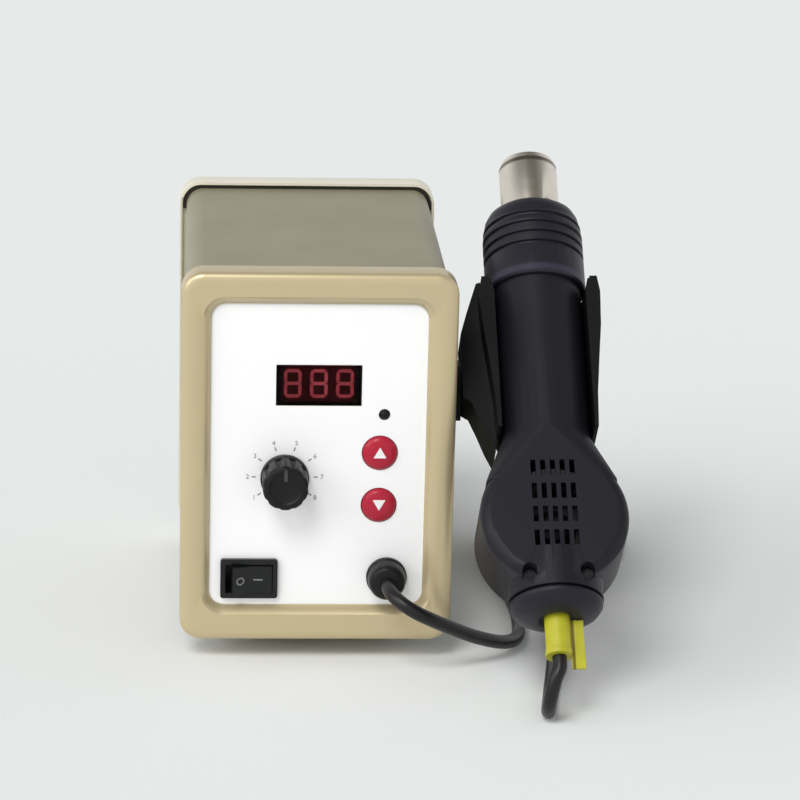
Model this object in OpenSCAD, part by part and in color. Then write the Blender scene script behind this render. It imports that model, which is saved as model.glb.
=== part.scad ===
// Hot air rework station: a desk case with a digital front panel, and a hot air
// handle that lies in a slanted holder on the right side of the case.
// X is to the right, Y to the back and Z up. The sizes below are in millimetres and are
// measured from the middle of the case's front face, at the height of its lower edge.

/* [Case] */
// Width of the case over the bezels
case_w = 100; // [98:1:106]
// Height of the case without its feet
case_h = 140; // [138:1:148]
// Depth of the case over both bezels
case_d = 150; // [146:1:170]
// Depth of the front bezel
front_bezel_d = 11; // [10:1:18]
// Depth of the rear bezel
rear_bezel_d = 12; // [11:1:16]
// Corner radius of the bezels
bezel_r = 8; // [7:0.5:10]
// Rounding of the bezels' outer edge
bezel_edge = 4; // [2:0.5:5]
// How far the sheet cover lies inside the bezels
cover_inset = 2.5; // [2:0.5:4]
// Thickness of the sheet metal
sheet_t = 1; // [0.8:0.1:1.5]
// Height of the feet below the case
foot_h = 8; // [7:1:14]

/* [Front panel] */
// Width of the panel that shows
panel_w = 78.5; // [77:0.5:80]
// Height of the panel that shows
panel_h = 115; // [114:0.5:118]
// How deep the panel lies in the bezel
panel_recess = 3; // [2:0.5:4]
// Thickness of the panel
panel_t = 2; // [1.5:0.5:2.5]
// Width of the display window
window_w = 31.2; // [30:0.2:33]
// Height of the display window
window_h = 15.5; // [15:0.5:17]
// Diameter of the two arrow buttons
button_d = 12.6; // [11:0.2:13]
// Travel of the two arrow buttons
button_travel = 1; // [0.6:0.1:1.2]
// Diameter of the air flow knob
knob_d = 17.8; // [16:0.2:20]
// How far the knob stands out of the panel
knob_h = 14; // [12:1:16]
// Tilt of the rocker from its middle, to each side
rocker_tilt = 12; // [8:1:14]

/* [Holder and handle] */
// Lean of the handle from upright, nozzle to the back
lean = 45; // [40:1:50]
// Small turn of the handle in its holder, with the nozzle towards the case
toe = 0.9; // [0:0.1:2]
// Handle axis, to the right of the middle of the case
hold_x = 82.4; // [82:0.1:88]
// Radius of the handle's grip
grip_r = 16.6; // [16:0.1:17]
// Radius of the ribbed collar that rests on the holder
collar_r = 18.7; // [18.5:0.1:19.5]
// Radius of the steel hot air tube
tube_r = 10.9; // [10.5:0.1:11.5]
// Radius of the round fan housing
drum_r = 26.8; // [26:0.1:28]
// Thickness of the fan housing
drum_t = 33; // [33:1:36]
// Wall of the moulded shells
shell_t = 2.2; // [2:0.1:2.6]
// How far the handle lifts out of the holder
lift_travel = 50; // [40:1:60]

/* [Cord] */
// Diameter of the handle cord
cord_d = 5.2; // [5:0.1:5.5]
// Whole turns of the coil that lies behind the handle, one on another
coil_turns = 3; // [2:1:3]

/* [Hidden] */
$fn = 48;
tiny = 0.01;

// Where the case's parts lie
panel_back = panel_recess + panel_t;
panel_lip = 1.8;
lip_edge = 0.8;
edge_depth = 0.6 * bezel_edge;
bezel_wall = cover_inset;
cover_front = front_bezel_d - 3;
cover_low = 8;
tray_top = 14.5;
cover_back = case_d - rear_bezel_d + 3;
board_y = 19;
board_t = 1.6;
board_z = 84;
board_w = 76;
board_h = 84;
panel_up = 0.8;
mouth_gap = 1.5;
mouth_deep = 2;
display_z = 97.4;
lamp_x = 24;
lamp_z = 86.5;
button_x = 22.6;
up_z = 71.9;
down_z = 51.9;
knob_x = -12;
knob_z = 62.4;
pot_shaft_r = 3;
switch_x = -24.6;
switch_z = 23.6;
gland_x = 26;
gland_z = 24.2;
gland_front = -6;

// Where the rear parts lie
rear_face = case_d - panel_recess;
rear_t = 1.5;
inlet_x = -12;
inlet_z = 38;
fuse_x = 28;

// Where the inner power parts lie
power_z = 13;
power_y = 44;
power_d = 88;
power_w = 80;

// Where the handle lies, and its stations along the axis, counted to the nozzle
hold_y = 15;
hold_z = 92.5;
tube_end = 97;
shoulder_top = 74.8;
shoulder_low = 66;
collar_low = 40;
grip_top = 46;
neck_top = -23.5;
neck_w = 23.6;
drum_s = -58;
tail_s = -86;
cap_end = -93;
sleeve_end = -107;
sleeve_r = 4.6;
screw_s = -80.5;
screw_x = 10.3;
flange_t = 1.5;
tube_wall = 0.8;
tube_step = 0.5;
tube_lip = 1.1;
tube_lip_h = 2.6;
mica_t = 0.5;

// The holder, in the handle's own directions
trough_r = grip_r + 0.3;
trough_top = 39.5;
trough_low = -22;
wing_front = -14;
block_x = 52.9;

// The cord lies on the table at this height of its middle
lay_z = cord_d / 2 - foot_h;
coil_at = [100, 119.5];
coil_r = 26;
coil_top = lay_z + cord_d * (coil_turns + 0.6) + cord_d / 2;

// Middle of the whole object's outline, which is the part's own origin
left_end = -case_w / 2;
right_end = hold_x + drum_r - drum_s * sin(toe);
flag_low = sleeve_end - 5;
flag_in = sleeve_r - 0.3;
front_end = hold_y + (flag_low * cos(toe) + flag_in * sin(toe)) * sin(lean) - 0.5 * cos(lean);
back_end = case_d;
origin_x = (left_end + right_end) / 2;
origin_y = (front_end + back_end) / 2;

// Places a piece of the case or the table in the part's own frame
module place() translate([-origin_x, -origin_y, foot_h]) children();

// Places a piece of the holder or the handle: z runs to the nozzle, -y faces the user
module at_handle()
  place() translate([hold_x, hold_y, hold_z]) rotate([-lean, 0, 0]) rotate([0, -toe, 0]) children();

// A plate outline with round corners
module round_plate(w, h, r) {
  square([w - 2 * r, h], center = true);
  square([w, h - 2 * r], center = true);
  for (x = [-1, 1], y = [-1, 1])
    translate([x * (w / 2 - r), y * (h / 2 - r)]) circle(r = r);
}

// Stands an outline upright and gives it a thickness from y0 to the back
module along_y(y0, t)
  translate([0, y0 + t, 0]) rotate([90, 0, 0]) linear_extrude(height = t) children();

module rod_y(r, y0, y1) translate([0, y0, 0]) rotate([-90, 0, 0]) cylinder(r = r, h = y1 - y0);
module rod_x(r, x0, x1) translate([x0, 0, 0]) rotate([0, 90, 0]) cylinder(r = r, h = x1 - x0);

// A solid of revolution whose axis runs to the back, from a profile of [radius, y]
module turned_y(profile)
  rotate([-90, 0, 0]) rotate_extrude() polygon(profile);

module case_middle() translate([0, 0, case_h / 2]) children();

// A bezel block with its outer edge rounded, standing on its flat back
module bezel_block(d) {
  steps = 5;
  edge = [for (i = [0:steps]) let (a = 90 * i / steps)
    [bezel_r - bezel_edge + bezel_edge * sin(a), edge_depth * (1 - cos(a))]];
  hull()
    for (x = [-1, 1], z = [-1, 1])
      translate([x * (case_w / 2 - bezel_r), 0, z * (case_h / 2 - bezel_r)])
        rotate([-90, 0, 0]) rotate_extrude($fn = 32)
          polygon(concat([[0, 0]], edge, [[bezel_r, d], [0, d]]));
}

// A bezel: a rounded frame with a bevelled recess, open at the back, where its mouth
// stands a little off the cover
module bezel(d) {
  difference() {
    bezel_block(d);
    translate([0, 0, panel_up]) {
      hull() {
        along_y(-tiny, tiny) round_plate(panel_w + 6, panel_h + 6, 8, $fn = 32);
        along_y(panel_recess - lip_edge, tiny) round_plate(panel_w, panel_h, 5.5, $fn = 32);
      }
      along_y(panel_recess - lip_edge, d) round_plate(panel_w, panel_h, 5.5);
      along_y(panel_recess, d)
        round_plate(panel_w + 2 * panel_lip + 0.2, panel_h + 2 * panel_lip + 0.2, 7);
    }
    along_y(panel_back + 1, d)
      round_plate(case_w - 2 * bezel_wall, case_h - 2 * bezel_wall, bezel_r - bezel_wall);
    along_y(d - mouth_deep, d)
      round_plate(case_w - 2 * (bezel_wall - mouth_gap), case_h - 2 * (bezel_wall - mouth_gap),
        bezel_r - bezel_wall + mouth_gap);
  }
}

module front_bezel() color("#d6c9a0") place() case_middle() bezel(front_bezel_d);

module front_panel()
  color("white") place() case_middle()
    along_y(panel_recess, panel_t) difference() {
      translate([0, panel_up]) round_plate(panel_w + 2 * panel_lip, panel_h + 2 * panel_lip, 6.9);
      translate([0, -case_h / 2]) {
        translate([0, display_z]) square([window_w, window_h], center = true);
        translate([lamp_x, lamp_z]) circle(r = 2.1);
        for (z = [up_z, down_z]) translate([button_x, z]) circle(r = button_d / 2 + 0.3);
        translate([knob_x, knob_z]) circle(r = pot_shaft_r + 0.7);
        translate([switch_x, switch_z]) square([19.2, 13.2], center = true);
        translate([gland_x, gland_z]) circle(r = 6.2);
      }
    }

module display_window()
  color("#1a0406", 0.8) place() translate([0, 0, display_z]) {
    along_y(panel_recess + 0.2, panel_t - 0.2) square([window_w - 0.3, window_h - 0.3], center = true);
    along_y(panel_back, 1) square([window_w + 3, window_h + 2.5], center = true);
  }

module display_module()
  color("#303030") place() translate([0, 0, display_z]) {
    along_y(panel_back + 1.2, 7) square([30, 14.4], center = true);
    along_y(panel_back + 8.2, board_y - panel_back - 8.2) square([24, 6], center = true);
  }

// One bar of a digit, pointed at both ends
module digit_bar(long, wide)
  polygon([[-long / 2, 0], [-long / 2 + wide / 2, wide / 2], [long / 2 - wide / 2, wide / 2],
    [long / 2, 0], [long / 2 - wide / 2, -wide / 2], [-long / 2 + wide / 2, -wide / 2]]);

module display_digits() {
  digit_w = 5.2;
  digit_h = 9.6;
  bar = 1.2;
  color("#c02030") place() translate([0, 0, display_z])
    along_y(panel_back + 1, 0.2)
      for (d = [-1, 0, 1]) translate([d * 9.5, 0]) {
        for (z = [-1, 0, 1]) translate([0, z * digit_h / 2]) digit_bar(digit_w, bar);
        for (x = [-1, 1], z = [-1, 1])
          translate([x * digit_w / 2, z * digit_h / 4]) rotate(90) digit_bar(digit_h / 2 - 0.2, bar);
      }
}

module indicator_lamp()
  color("#1c1c1e") place() translate([lamp_x, 0, lamp_z]) {
    turned_y([[0, 2.2], [1.1, 2.4], [1.75, 3.1], [1.95, 4], [1.95, panel_back], [0, panel_back]]);
    rod_y(2.6, panel_back, panel_back + 2);
    for (x = [-1.27, 1.27]) translate([x, 0, 0]) rod_y(0.3, panel_back + 2, board_y);
  }

// An arrow button: a domed cap with a collar behind the panel and a stem
module arrow_button(z) {
  r = button_d / 2;
  color("#b3203f") place() translate([button_x, 0, z])
    turned_y([[0, 1.2], [r - 2.6, 1.35], [r - 0.9, 1.9], [r, 2.9], [r, panel_back + 0.1],
      [r + 1.2, panel_back + 0.1], [r + 1.2, panel_back + 1.4], [1.5, panel_back + 1.4],
      [1.5, board_y - 4.7], [0, board_y - 4.7]]);
}

module up_button() arrow_button(up_z);
module down_button() arrow_button(down_z);

module airflow_knob() {
  r = knob_d / 2;
  front = panel_recess - knob_h;
  flutes = 10;
  color("#232326") place() translate([knob_x, 0, knob_z]) difference() {
    turned_y([[0, front + 0.6], [r - 3.4, front + 0.6], [r - 2.8, front], [r - 1.4, front],
      [r - 0.6, front + 0.8], [r - 0.3, 0.4], [r, 0.6], [r, panel_recess - 0.5],
      [0, panel_recess - 0.5]]);
    for (i = [0:flutes - 1]) rotate([0, 360 * i / flutes, 0])
      translate([r + 1.1, 0, 0]) rod_y(2.1, front - 1, -0.4);
    rod_y(pot_shaft_r + 0.02, front + 4, panel_recess);
    translate([-0.6, front - 1, r - 6.2]) cube([1.2, 2.1, 4.6]);
  }
}

module knob_pointer()
  color("white") place() translate([knob_x, 0, knob_z])
    translate([-0.6, panel_recess - knob_h + 0.4, knob_d / 2 - 6.2]) cube([1.2, 0.7, 4.6]);

module pot_shaft()
  color("silver") place() translate([knob_x, 0, knob_z]) rod_y(pot_shaft_r, panel_recess - knob_h + 4.1, 15);

module pot_body()
  color("#5a6a7a") place() translate([knob_x, 0, knob_z]) difference() {
    union() {
      rod_y(4.2, 7.5, 12);
      rod_y(8.2, 12, board_y);
    }
    rod_y(pot_shaft_r + 0.05, 7, 15.2);
  }

module control_board()
  color("#1d6b3a") place() translate([0, 0, board_z])
    along_y(board_y, board_t) difference() {
      square([board_w, board_h], center = true);
      for (x = [-1, 1], z = [-1, 1]) translate([x * (board_w / 2 - 4), z * (board_h / 2 - 4)]) circle(r = 1.7);
    }

// Push switches in front of the board, and the chip and plug behind it
module board_parts()
  color("#2a2a2c") place() {
    for (z = [up_z, down_z]) translate([button_x, 0, z]) difference() {
      along_y(board_y - 5.5, 5.5) square([6.2, 6.2], center = true);
      rod_y(1.9, board_y - 6, board_y - 3.2);
    }
    translate([-14, 0, 94]) along_y(board_y + board_t, 2.4) square([16, 9], center = true);
    translate([16, 0, 62]) along_y(board_y + board_t, 9) square([20, 6.5], center = true);
    translate([-18, 0, 58]) along_y(board_y + board_t, 8.5) square([10, 12], center = true);
  }

module board_standoffs()
  color("#c8b070") place()
    for (x = [-1, 1], z = [-1, 1])
      translate([x * (board_w / 2 - 4), 0, board_z + z * (board_h / 2 - 4)]) {
        rod_y(2.8, panel_back, board_y);
        rod_y(1.6, board_y, board_y + board_t);
        rod_y(2.8, board_y + board_t, board_y + board_t + 1.8);
      }

// The rocker turns on pins in the switch's upper and lower wall
rocker_axis_y = 5;
rocker_pin_r = 1.2;

module switch_body()
  color("#202225") place() translate([switch_x, 0, switch_z]) {
    difference() {
      union() {
        along_y(panel_recess - 1.8, 1.8) round_plate(21, 15, 1);
        along_y(panel_recess, 17) square([18.8, 12.8], center = true);
      }
      along_y(0, 12.5) square([17.4, 11], center = true);
      translate([0, rocker_axis_y, 0]) cylinder(r = rocker_pin_r + 0.05, h = 12.2, center = true);
    }
    for (x = [-5, 5]) translate([x, 0, 0]) along_y(20, 8) square([0.8, 4.8], center = true);
  }

module switch_rocker()
  color("#17181a") place() translate([switch_x, rocker_axis_y, switch_z]) rotate([0, 0, rocker_tilt]) {
    linear_extrude(height = 10.4, center = true)
      polygon([[-7.4, -6], [-6.6, -6.2], [0, -4.4], [6.6, -6.2], [7.4, -6], [7.4, -3], [4.6, 3.4],
        [0, 5.6], [-4.6, 3.4], [-7.4, -3]]);
    cylinder(r = rocker_pin_r, h = 12, center = true);
  }

module cord_gland()
  color("#17171a") place() translate([gland_x, 0, gland_z])
    turned_y([[0, gland_front], [4.4, gland_front], [5.8, gland_front + 0.6], [6.6, gland_front + 1.8],
      [7, -1.2], [7, 0.9], [7.5, 1.3], [7.5, panel_recess], [6, panel_recess], [6, 13], [0, 13]]);

module gland_nut()
  color("#17171a") place() translate([gland_x, 0, gland_z]) difference() {
    translate([0, panel_back, 0]) rotate([-90, 0, 0]) cylinder(r = 9.4, h = 4, $fn = 6);
    rod_y(6.05, panel_back - 1, panel_back + 5);
  }

// Outline of the cover: a folded sheet with round upper corners, open below
module cover_outline(inset) {
  w = case_w - 2 * (cover_inset + inset);
  top = case_h / 2 - cover_inset - inset;
  low = cover_low - case_h / 2;
  r = 6.5 - inset;
  translate([-w / 2, low]) square([w, top - r - low]);
  translate([-w / 2 + r, low]) square([w - 2 * r, top - low]);
  for (x = [-1, 1]) translate([x * (w / 2 - r), top - r]) circle(r = r);
}

module case_cover()
  color("#989380") place() difference() {
    case_middle() along_y(cover_front, cover_back - cover_front) difference() {
      cover_outline(0);
      translate([0, -tiny]) cover_outline(sheet_t);
    }
    holder_screw_places() rod_x(2.1, 40, 50);
    tray_screw_places() rod_x(1.6, -60, 60);
  }

module tray_screw_places()
  for (y = [30, 120]) translate([0, y, 11.5]) children();

// Outline of the tray: a folded sheet with round lower corners, open above
module tray_outline(inset) {
  w = case_w - 2 * (cover_inset + sheet_t + inset);
  low = cover_inset + inset;
  r = 4.5 - inset;
  translate([-w / 2, low + r]) square([w, tray_top - low - r]);
  translate([-w / 2 + r, low]) square([w - 2 * r, tray_top - low]);
  for (x = [-1, 1]) translate([x * (w / 2 - r), low + r]) circle(r = r);
}

module base_tray() {
  color("#8b8c88") place() difference() {
    along_y(cover_front, cover_back - cover_front) difference() {
      tray_outline(0);
      translate([0, tiny]) tray_outline(sheet_t);
    }
    for (x = [-24:8:24]) translate([x - 1.6, 62, 0]) cube([3.2, 40, 5]);
    foot_places() cylinder(r = 1.6, h = 20);
    tray_screw_places() rod_x(1.6, -60, 60);
  }
}

module rear_bezel()
  color("#e8e4d3") place() case_middle() translate([0, case_d, 0]) mirror([0, 1, 0]) bezel(rear_bezel_d);

module rear_panel()
  color("#a8a89c") place() case_middle()
    along_y(rear_face - rear_t, rear_t) difference() {
      translate([0, panel_up]) round_plate(panel_w + 2 * panel_lip, panel_h + 2 * panel_lip, 6.9);
      translate([0, -case_h / 2]) {
        translate([inlet_x, inlet_z]) square([27.8, 20.2], center = true);
        translate([fuse_x, inlet_z]) circle(r = 6);
        for (x = [-20, 20]) translate([inlet_x + x, inlet_z]) circle(r = 1.6);
        for (x = [-28:7:28]) translate([x, 94]) round_plate(3, 34, 1.4);
      }
    }

module pin_places()
  for (p = [[-7, -2], [7, -2], [0, 2]]) translate([p[0], 0, p[1]]) children();

module mains_inlet() {
  back = rear_face;
  color("#151515") place() translate([inlet_x, 0, inlet_z]) difference() {
    union() {
      along_y(back, 2.5) round_plate(48, 22.5, 5);
      along_y(back - 20, 20) square([27.4, 19.8], center = true);
    }
    along_y(back - 14, 20)
      polygon([[-12.2, -8.1], [12.2, -8.1], [12.2, 4.6], [8.6, 8.1], [-8.6, 8.1], [-12.2, 4.6]]);
    for (x = [-1, 1]) translate([20 * x, 0, 0]) rod_y(1.7, back - 1, back + 4);
    pin_places() along_y(back - 21, 20) square([2, 4], center = true);
  }
}

module inlet_pins()
  color("#c9c2a8") place() translate([inlet_x, 0, inlet_z])
    pin_places() along_y(rear_face - 26, 24) square([2, 4], center = true);

module fuse_holder()
  color("#151515") place() translate([fuse_x, 0, inlet_z]) difference() {
    union() {
      rod_y(5.8, rear_face - 37, rear_face);
      rod_y(7.6, rear_face, rear_face + 1.4);
      rod_y(6.1, rear_face, rear_face + 2.6);
    }
    translate([-4, rear_face + 1.4, -0.6]) cube([8, 3, 1.2]);
  }

module power_board()
  color("#1d6b3a") place() difference() {
    translate([-power_w / 2, power_y, power_z]) cube([power_w, power_d, board_t]);
    power_post_places() cylinder(r = 1.7, h = 60, center = true);
  }

module power_post_places()
  for (x = [-1, 1], y = [5, power_d - 5]) translate([x * (power_w / 2 - 5), power_y + y, 0]) children();

// Capacitors, relay, plug and the posts under the board
module power_parts()
  color("#31343a") place() {
    power_post_places() {
      translate([0, 0, cover_inset + sheet_t]) cylinder(r = 2.6, h = power_z - cover_inset - sheet_t);
      translate([0, 0, power_z]) cylinder(r = 1.6, h = board_t);
      translate([0, 0, power_z + board_t]) cylinder(r = 2.8, h = 1.8);
    }
    for (p = [[20, 16, 6.5, 24], [18, 32, 5, 18], [4, 12, 4, 12]])
      translate([p[0], power_y + p[1], power_z + board_t]) cylinder(r = p[2], h = p[3]);
    translate([12, power_y + 62, power_z + board_t]) cube([19, 15.5, 15]);
    translate([-30, power_y + 6, power_z + board_t]) cube([26, 8, 9]);
  }

core_w = 41;
core_h = 34;
core_d = 22;
core_leg = 7;
module transformer_core()
  color("#6d7175") place() translate([-17, power_y + 47, power_z + board_t])
    along_y(-core_d / 2, core_d) difference() {
      translate([-core_w / 2, 0]) square([core_w, core_h]);
      for (x = [-1, 1]) translate([x * (core_leg + 6.75) - 4.9, core_leg]) square([9.8, core_h - 2 * core_leg]);
    }

module transformer_coil() {
  w = 31;
  d = 33;
  color("#c9a13b") place() translate([-17, power_y + 47, power_z + board_t + core_leg]) difference() {
    linear_extrude(height = core_h - 2 * core_leg) round_plate(w, d, 4);
    translate([-8.9, -core_d / 2 - 0.1, -1]) cube([17.8, core_d + 0.2, core_h]);
  }
}

module heat_sink()
  color("#9a9ea2") place() translate([28, power_y + 50, power_z + board_t])
    linear_extrude(height = 30) {
      translate([5, -20]) square([3, 30]);
      for (i = [0:6]) translate([-2, -20 + i * 4.8]) square([8, 1.2]);
    }

foot_x = 34;
foot_ys = [40, case_d - 32];
foot_bore_h = 5;
module foot_places()
  for (x = [-1, 1], y = foot_ys) translate([x * foot_x, y, -foot_h]) children();

module feet()
  color("#1c1c1c") place() foot_places() rotate_extrude()
    polygon([[3.7, 0], [6.8, 0], [7.4, 0.8], [8, foot_h + cover_inset], [1.6, foot_h + cover_inset],
      [1.6, foot_bore_h], [3.7, foot_bore_h]]);

module foot_screws()
  color("#b8b8b4") place() foot_places() {
    translate([0, 0, foot_bore_h - 2]) cylinder(r = 3.2, h = 2);
    translate([0, 0, foot_bore_h]) cylinder(r = 1.5, h = foot_h + cover_inset + 3 - foot_bore_h);
  }

module case_screws()
  color("#b8b8b4") place() {
    wall = case_w / 2 - cover_inset;
    for (s = [-1, 1]) tray_screw_places() {
      rod_x(1.5, min(s * wall, s * (wall - 4)), max(s * wall, s * (wall - 4)));
      rod_x(2.8, min(s * wall, s * (wall + 1.2)), max(s * wall, s * (wall + 1.2)));
    }
    for (x = [-1, 1]) translate([inlet_x + 20 * x, 0, inlet_z]) {
      rod_y(1.5, rear_face - rear_t - 4, rear_face + 2.5);
      rod_y(2.7, rear_face + 2.5, case_d - 0.1);
    }
  }

// Two screws from inside the case go through the bracket into the cradle's side
module holder_screw_places()
  for (z = [87.2, 96.2]) translate([0, 21, z]) children();

module holder_bracket()
  color("#242427") place() difference() {
    union() {
      wall = case_w / 2 - cover_inset;
      translate([wall, 17, 80]) cube([3, 36, 21]);
      translate([wall, 17, 80]) cube([block_x - wall, 8, 21]);
    }
    holder_screw_places() rod_x(2.05, 40, 60);
  }

module holder_screws()
  color("#b8b8b4") place() holder_screw_places() {
    inner = case_w / 2 - cover_inset - sheet_t;
    rod_x(2, inner, block_x + 4.5);
    rod_x(3.6, inner - 2.4, inner);
  }

// Wall of the cradle from the axis out: x is the radius, y the place along the handle
cradle_wall = [[trough_r, trough_low], [18.2, trough_low], [18.8, -8], [20.2, 6], [21.7, 20],
  [22.3, 34], [21.4, trough_top + 1], [trough_r + 1.8, trough_top + 1], [trough_r + 1.8, trough_top],
  [trough_r + 1, trough_top], [trough_r, trough_top - 5]];
// Outline of the ear on the left wing, which bolts to the bracket
cradle_ear = [[-17.7, -20], [-18.8, -27.5], [-21.6, -21], [-24.3, -13], [-26.8, -6.5], [-30.6, -4],
  [-30.6, 17], [-26.8, 30], [-22.6, 43], [-21, 43.6], [-20.6, trough_top], [-18, trough_top - 4]];
ear_front = -4;
ear_back = 11;

module holder_cradle()
  color("#1d1e20") at_handle() difference() {
    union() {
      rotate_extrude(angle = 180) polygon(cradle_wall);
      for (x = [0, 1]) mirror([x, 0, 0]) along_y(wing_front, -wing_front) polygon(cradle_wall);
      along_y(ear_front, ear_back - ear_front) polygon(cradle_ear);
    }
    translate([0, 0, 8]) rod_y(5.05, trough_r - 1, trough_r + 2.2);
    rotate([0, toe, 0]) rotate([lean, 0, 0]) translate([-hold_x, -hold_y, -hold_z]) {
      holder_screw_places() rod_x(2.05, 50, block_x + 5);
      translate([block_x - 20, -100, 0]) cube([20, 200, 200]);
    }
  }

module park_magnet()
  color("#a9abad") at_handle() translate([0, 0, 8]) rod_y(5, trough_r + 0.3, trough_r + 2.2);

// Outline of the neck between the grip and the fan housing, seen from the front
module neck_form(g) {
  half_t = drum_t / 2 - g;
  hull() {
    translate([0, 0, neck_top]) cylinder(r = grip_r - g, h = 1, $fn = 32);
    translate([0, 0, drum_s + 14]) for (x = [-1, 1], y = [-1, 1])
      translate([x * (neck_w - g - 5), y * (half_t - 5), 0]) cylinder(r = 5, h = 1, $fn = 32);
  }
}

// The handle's body, drawn in by g: grip, neck, fan housing and tail
module handle_form(g) {
  edge = 4;
  half_t = drum_t / 2 - g;
  r = drum_r - g;
  translate([0, 0, neck_top]) cylinder(r = grip_r - g, h = grip_top - neck_top + g);
  neck_form(g);
  translate([0, 0, drum_s]) rotate([-90, 0, 0]) rotate_extrude() {
    translate([0, -half_t]) square([r - edge, 2 * half_t]);
    translate([0, -half_t + edge]) square([r, 2 * half_t - 2 * edge]);
    for (y = [-1, 1]) translate([r - edge, y * (half_t - edge)]) circle(r = edge);
  }
  translate([0, 0, tail_s + g]) cylinder(r = 17.2 - g, h = 20 - g);
}

// Cuts the slanted faces below the fan housing's front and back
module lower_facets(depth)
  for (x = [0, 1], y = [0, 1]) mirror([x, 0, 0]) mirror([0, y, 0])
    translate([18.2, -depth, drum_s - 14.2]) rotate([0, 31.8, 0]) rotate([0, 0, -50])
      translate([0, -20, -20]) cube([20, 40, 40]);

// The slots that draw the air in: five across and four along the handle
module intake_slots(y0, y1)
  for (i = [-2:2], j = [0:3])
    translate([i * 3.5 - 0.95, y0, drum_s - 13 + j * 9.3]) cube([1.9, y1 - y0, 6.1]);

module shell_half(side) {
  half_t = drum_t / 2;
  difference() {
    intersection() {
      difference() {
        handle_form(0);
        lower_facets(half_t);
      }
      translate([-40, side < 0 ? -40 : 0, tail_s - 1]) cube([80, 40, 140]);
    }
    difference() {
      handle_form(shell_t);
      lower_facets(half_t - shell_t * 1.2);
      for (x = [-1, 1]) translate([x * screw_x, 0, screw_s]) rod_y(3.6, -30, 30);
    }
    translate([0, 0, tail_s - 2]) cylinder(r = 14.4, h = 4);
    if (side < 0) intake_slots(-half_t - 1, -half_t + shell_t + 1);
    for (x = [-1, 1]) translate([x * screw_x, 0, screw_s]) {
      rod_y(2.7, -30, side < 0 ? -10 : -29);
      rod_y(1.3, -12, 10);
    }
  }
}

module shell_front() color("#29282d") at_handle() shell_half(-1);
module shell_rear() color("#232327") at_handle() shell_half(1);

module shell_screws()
  color("#8c8e90") at_handle()
    for (x = [-1, 1]) translate([x * screw_x, 0, screw_s]) {
      rod_y(1.25, -10, 8);
      rod_y(2.5, -12, -10);
    }

// The ribbed collar: a shoulder, four grooves and a plain band
module heater_collar() {
  grooves = [for (i = [0:3]) 52.2 + 4.2 * i];
  groove_w = 1.6;
  groove_d = 1.1;
  ribbed = [for (s = grooves, p = [[0, 0], [0.3, -groove_d], [groove_w - 0.3, -groove_d], [groove_w, 0]])
    [collar_r + p[1] - (s > 63 ? 0.3 : 0), s + p[0]]];
  color("#26252a") at_handle() rotate_extrude()
    polygon(concat([[grip_r + 0.05, collar_low], [collar_r - 0.6, collar_low], [collar_r, collar_low + 0.8]],
      ribbed, [[18.1, shoulder_low + 0.8], [17.5, shoulder_top - 4.8], [16.2, shoulder_top - 2.2],
      [14, shoulder_top - 0.5], [12.4, shoulder_top], [tube_r - tube_step, shoulder_top],
      [tube_r - tube_step, shoulder_top - 3],
      [14.4, shoulder_low], [14.4, grip_top + flange_t], [grip_r + 0.05, grip_top + flange_t]]));
}

module heater_tube()
  color("#c4bdb5") at_handle() difference() {
    union() {
      translate([0, 0, shoulder_top]) cylinder(r = tube_r, h = tube_end - tube_lip_h - shoulder_top);
      translate([0, 0, tube_end - tube_lip_h]) cylinder(r1 = tube_r, r2 = tube_r - tube_lip, h = tube_lip_h);
      translate([0, 0, grip_top]) cylinder(r = tube_r - tube_step, h = shoulder_top - grip_top);
      translate([0, 0, grip_top]) cylinder(r = grip_r - 0.1, h = flange_t);
    }
    translate([0, 0, grip_top - 1]) cylinder(r = tube_r - tube_wall, h = tube_end - tube_lip_h - grip_top + 1);
    translate([0, 0, tube_end - tube_lip_h - tiny])
      cylinder(r1 = tube_r - tube_wall, r2 = tube_r - tube_lip - tube_wall, h = tube_lip_h + 2 * tiny);
  }

module mica_sleeve()
  color("#cdbf9a") at_handle() difference() {
    translate([0, 0, grip_top + 2]) cylinder(r = tube_r - tube_wall, h = 40);
    translate([0, 0, grip_top]) cylinder(r = tube_r - tube_wall - mica_t, h = 60);
  }

// The ceramic heater: a round block with air channels and a lead-in at its lower end
module heater_core()
  color("#e6e2da") at_handle() translate([0, 0, grip_top + 2]) difference() {
    cylinder(r = tube_r - tube_wall - mica_t, h = 39);
    for (i = [0:5]) rotate(60 * i) translate([6.1, 0, -1]) cylinder(r = 1.9, h = 50);
    translate([0, 0, -1]) cylinder(r = 1.9, h = 50);
  }

motor_r = 12;
fan_r = 19.5;
module fan_motor()
  color("#2c2d31") at_handle() translate([0, 0, drum_s]) difference() {
    union() {
      rod_y(motor_r, 4.2, drum_t / 2 - shell_t);
      rod_y(4, 2.6, 4.2);
    }
    rod_y(1.55, 2, 14);
  }

// The blower wheel: a back plate, a hub, and blades that curve forwards, with a rim ring
module fan_impeller() {
  blades = 22;
  color("#3a3b40") at_handle() translate([0, 0, drum_s]) {
    difference() {
      union() {
        rod_y(fan_r, 0.6, 2.2);
        turned_y([[0, -8], [3, -8], [6, -6], [9, 0.6], [0, 0.6]]);
      }
      rod_y(1.5, -9, 3);
    }
    rod_y(1.5, -7.9, 13.5);
    difference() {
      rod_y(fan_r, -12, -10.8);
      rod_y(fan_r - 4.6, -13, -10);
    }
    for (i = [0:blades - 1]) rotate([0, 360 * i / blades, 0])
      translate([fan_r - 2.6, 0, 0]) rotate([0, 28, 0]) along_y(-11, 11.8) square([4.2, 0.9], center = true);
  }
}

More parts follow.
